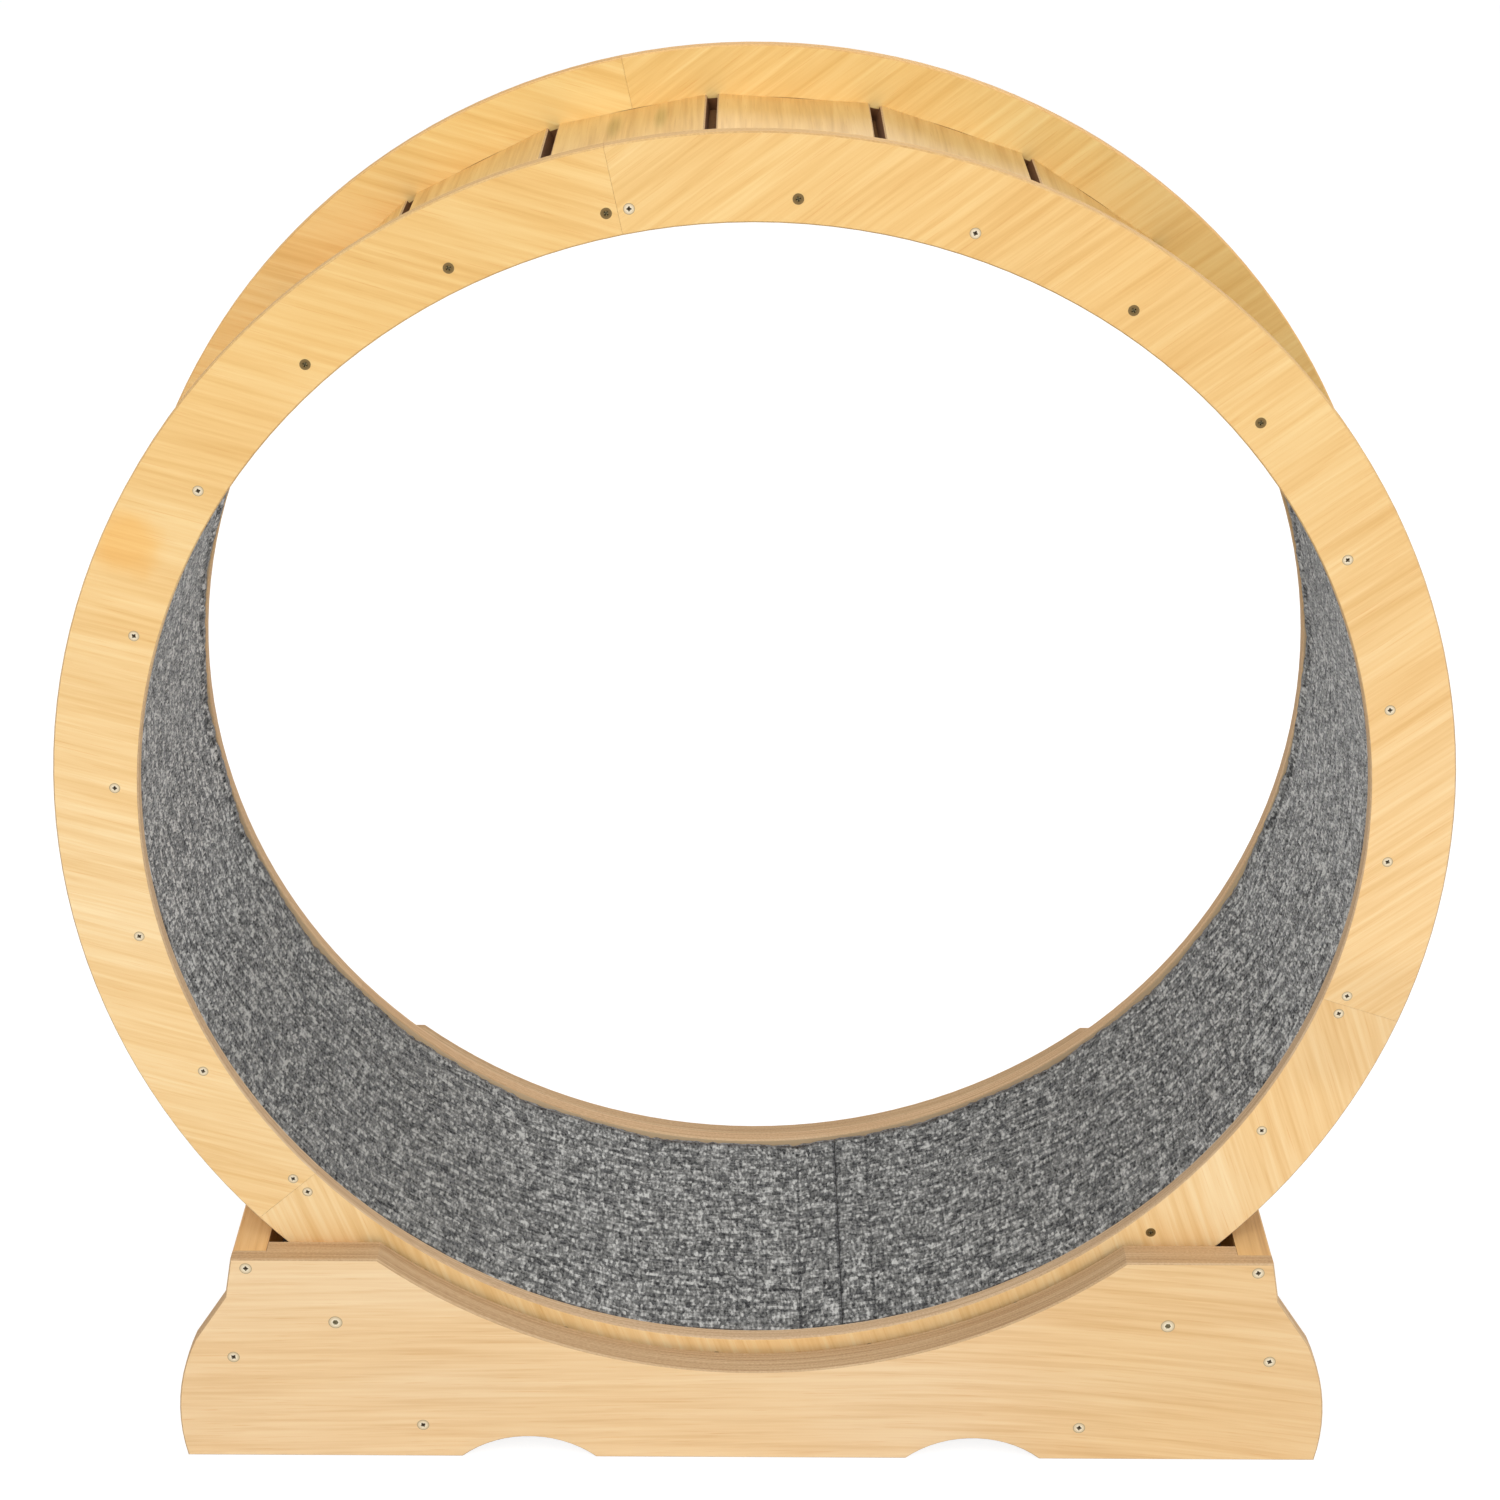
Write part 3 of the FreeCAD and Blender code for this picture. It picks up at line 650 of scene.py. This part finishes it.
def head_finish(name, head_face, centre_distance, head_radius, plating_and_shade, dark_reflection_angles=()):
    """Zinc plate whose colours run out from the middle of each head, with painted shade in the
    recess and round the rim, and, on the heads at some places of the ring, a painted dark
    reflection."""
    material, shader, start = new_finish(name)
    x, y, z = place_on(start)
    share = centre_distance(x, z) / head_radius
    scuff = noise(x * 900.0, z * 900.0, y * 900.0, 3.0)
    hollow = ease(head_face - abs(y), 0.0002, 0.0009)
    colour = share.node("ValToRGB", {"stops": plating_and_shade}, {"Fac": share})
    for angle in dark_reflection_angles:
        turn = math.radians(angle)
        away_x = abs(x - screw_circle * math.cos(turn))
        away_z = abs(z - axle_height - screw_circle * math.sin(turn))
        this_head = ease(away_x + away_z, 0.009, 0.008)
        painted_dark_head = share.node("ValToRGB", {"stops": dark_reflection_plating}, {"Fac": share})
        colour = mixed(this_head, colour, painted_dark_head)
    # Painted shade in the recess.
    start.join(mixed(0.5 * hollow, colour, shade(84, 72, 54)), shader.inputs["Base Color"])
    shader.inputs["Metallic"].default_value = 0.5
    start.join(0.42 + 0.25 * (scuff - 0.5) + 0.3 * hollow, shader.inputs["Roughness"])
    carve(shader, 0.2, 0.0002, scuff)
    return material


# A painted dark reflection, with a painted highlight in the middle of the head.
dark_reflection_plating = [(0.20, shade(158, 146, 106)), (0.42, shade(108, 86, 46)), (0.90, shade(128, 104, 62))]
# Zinc colours, with painted shade in the middle, where the recess is, and a painted shadow line
# round the rim.
screw_plating_and_shade = [
    (0.24, shade(96, 80, 58)), (0.44, shade(242, 230, 204)), (0.66, shade(222, 204, 170)),
    (0.84, shade(216, 196, 160)), (0.97, shade(170, 150, 118)),
]
ring_heads = (from_ring_screw, ring_head_radius, screw_plating_and_shade)
front_zinc = head_finish("zinc_ring_screws", ring_face, *ring_heads, dark_reflection_screws)
dress("ring_screws_front", front_zinc)
dress("ring_screws_back", head_finish("zinc_back_screws", ring_face, *ring_heads))
panel_heads = (from_nearest(panel_screw_places), panel_head_radius, screw_plating_and_shade)
panel_zinc = head_finish("zinc_panel_screws", panel_face, *panel_heads)
for side in ("front", "back"):
    dress("panel_screws_" + side, panel_zinc)

# ---- The base panels ----
# Each long side of the base is two layers of the veneered board, glued face to face: a
# scalloped outer one and a shorter inner one, both with the round cutout for the wheel.
# The veneer lies level, and the sawn edges show both layers with a dark line between.
panel_colours = (shade(248, 219, 175), shade(242, 208, 160), shade(230, 191, 139))
panel_core = (0.98, 0.95, 0.93)
panel_grain_angle = 1
panel_sweep = 0.22
panels = ["front_outer_panel", "back_outer_panel", "front_inner_panel", "back_inner_panel"]
for number, name in enumerate(panels):
    show_face = panel_face if "outer" in name else panel_face - board_thickness
    look = (panel_core, panel_grain_angle, 70.0 + 10.0 * number, panel_colours, panel_sweep)
    dress(name, board_finish(name + "_veneer", show_face, *look))


# ---- The end boards and crossbars ----
# Two thick boards close the ends of the base, leaning in at the top, and two square bars tie
# its sides together near the floor. All four are planed solid softwood with its grain along
# them, from front to back.
def timber_finish(name, number, tint):
    material, shader, start = new_finish(name)
    x, y, z = place_on(start)
    colour, relief = veneer(y, x + z * 0.6, number, *timber_colours)
    start.join(tinted(colour, tint), shader.inputs["Base Color"])
    start.join(0.5 + 0.1 * (relief - 0.5), shader.inputs["Roughness"])
    carve(shader, 0.3, grain_depth, relief)
    return material


timber_colours = (shade(238, 196, 140), shade(228, 181, 121), shade(204, 153, 98))
left_tint, right_tint = (1.05, 1.08, 1.10), (0.93, 0.95, 0.89)
timber = ["left_end_board", "right_end_board", "left_crossbar", "right_crossbar"]
for number, name in enumerate(timber):
    tint = left_tint if name.startswith("left") else right_tint
    dress(name, timber_finish(name + "_wood", 130.0 + 7.0 * number, tint))


# ---- The axle bolts, spacers, washers and nuts ----
# Countersunk steel bolts with a hexagon socket hold the four rollers. Each carries a turned
# spacer, and a washer and a lock nut behind the bearing, all bright zinc plate.
def steel_finish(name, tint, roughness):
    material, shader, start = new_finish(name)
    x, y, z = place_on(start)
    turned = noise(x * 200.0, y * 4000.0, z * 200.0, 1.0)
    smudge = noise(x * 60.0, y * 60.0, z * 60.0, 3.0)
    colour = mixed(smudge, tint, mixed(smudge, tint, (0.8, 0.8, 0.78, 1), "MULTIPLY"))
    start.join(colour, shader.inputs["Base Color"])
    shader.inputs["Metallic"].default_value = 0.7
    start.join(roughness + 0.2 * (smudge - 0.5) + 0.1 * (turned - 0.5), shader.inputs["Roughness"])
    return material


axle_places = ((0.31605, 0.12352),)
bolt_head_radius = 0.00525
# Zinc colours, with a painted shadow line round the rim.
bolt_plating_and_shade = [
    (0.36, shade(206, 196, 160)), (0.46, shade(240, 228, 202)), (0.70, shade(220, 203, 170)),
    (0.86, shade(214, 194, 158)), (0.97, shade(172, 152, 120)),
]
bolt_heads = (from_nearest(axle_places), bolt_head_radius, bolt_plating_and_shade)
dress("axle_bolts", head_finish("bright_bolt_steel", panel_face, *bolt_heads))
hardware = steel_finish("zinc_hardware", shade(196, 197, 196), 0.32)
dress("axle_spacers", hardware)
dress("lock_nuts", hardware)

# ---- The rollers and their bearings ----
# Four grooved rollers of dark grey moulded nylon run under the rings, each pressed round a
# small sealed ball bearing of ground steel.
nylon, nylon_shader, start = new_finish("roller_nylon")
x, y, z = place_on(start)
grain_of_mould = noise(x * 1500.0, y * 1500.0, z * 1500.0, 2.0)
wear = noise(x * 120.0, y * 300.0, z * 120.0, 3.0)
nylon_colour = mixed(ease(wear, 0.4, 0.75), shade(44, 44, 47), shade(66, 66, 68))
start.join(nylon_colour, nylon_shader.inputs["Base Color"])
start.join(0.46 + 0.2 * (wear - 0.5), nylon_shader.inputs["Roughness"])
carve(nylon_shader, 0.25, 0.0002, grain_of_mould)
race_steel = steel_finish("ground_bearing_steel", shade(206, 207, 210), 0.2)
ball_steel = steel_finish("polished_ball_steel", shade(226, 227, 230), 0.1)
dress("bearing_inner_races", race_steel)
for corner in ("front_left", "front_right", "back_left", "back_right"):
    dress("roller_" + corner, nylon)
    dress("bearing_outer_race_" + corner, race_steel)
    dress("bearing_balls_" + corner, ball_steel)
